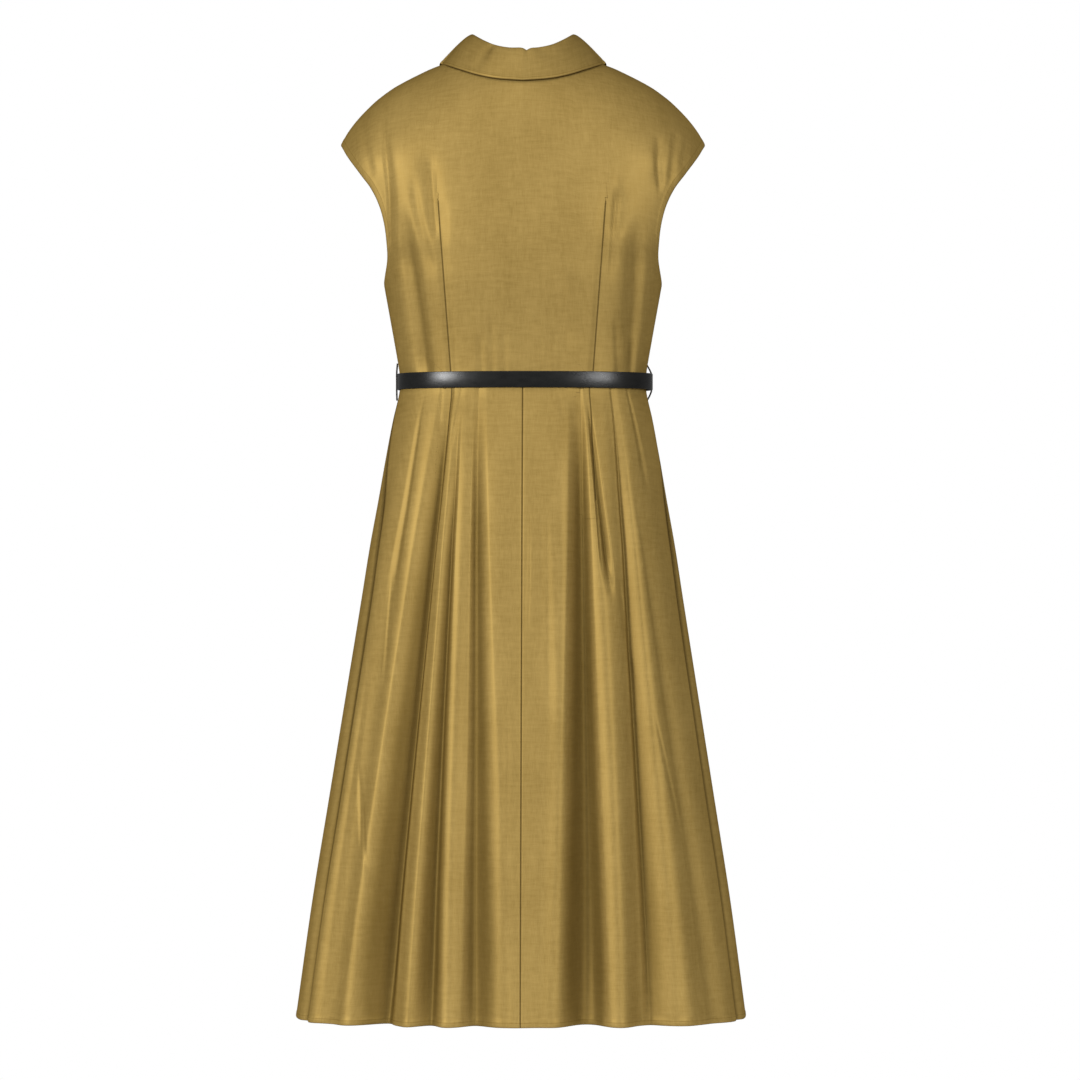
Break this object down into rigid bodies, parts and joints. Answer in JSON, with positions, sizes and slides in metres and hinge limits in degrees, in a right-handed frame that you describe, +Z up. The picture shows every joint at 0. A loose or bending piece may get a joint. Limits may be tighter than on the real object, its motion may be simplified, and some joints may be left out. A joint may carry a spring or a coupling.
{
  "type": "shirt dress",
  "caption": "Worn-form midi shirt dress with cap sleeves, folded collar, waist darts, flared skirt and a narrow leather belt; hollow and open at neck, armholes and hem.",
  "frame": {"origin": "middle of the neck's base, level with the shoulder seams at the neck, where the wearer's shoulders carry the dress", "axes": "+Z up towards the collar, +Y towards the wearer's front, +X towards the wearer's right"},
  "size_m": [0.5618, 0.3, 1.2257],
  "materials": {
    "dress_cloth": "satin with a fine slub",
    "belt_leather": "smooth, semi-gloss",
    "buckle_metal": "polished",
    "button": "semi-gloss",
    "loop_thread": "twisted thread"
  },
  "bodies": {
    "root": {"back_bodice": "dress_cloth", "front_bodice_left": "dress_cloth", "front_bodice_right": "dress_cloth", "skirt_back_left": "dress_cloth", "skirt_back_right": "dress_cloth", "skirt_front_left": "dress_cloth", "skirt_front_right": "dress_cloth", "button_band_bodice": "dress_cloth", "button_band_skirt": "dress_cloth", "collar_stand": "dress_cloth", "collar_fall": "dress_cloth", "button_1": "button", "button_2": "button", "button_3": "button", "button_4": "button", "button_5": "button", "button_6": "button", "button_7": "button", "button_8": "button", "button_9": "button", "belt_strap": "belt_leather", "belt_keeper": "belt_leather", "buckle_frame": "buckle_metal", "buckle_prong": "buckle_metal", "belt_loop_left": "loop_thread", "belt_loop_right": "loop_thread"}
  },
  "joints": []
}
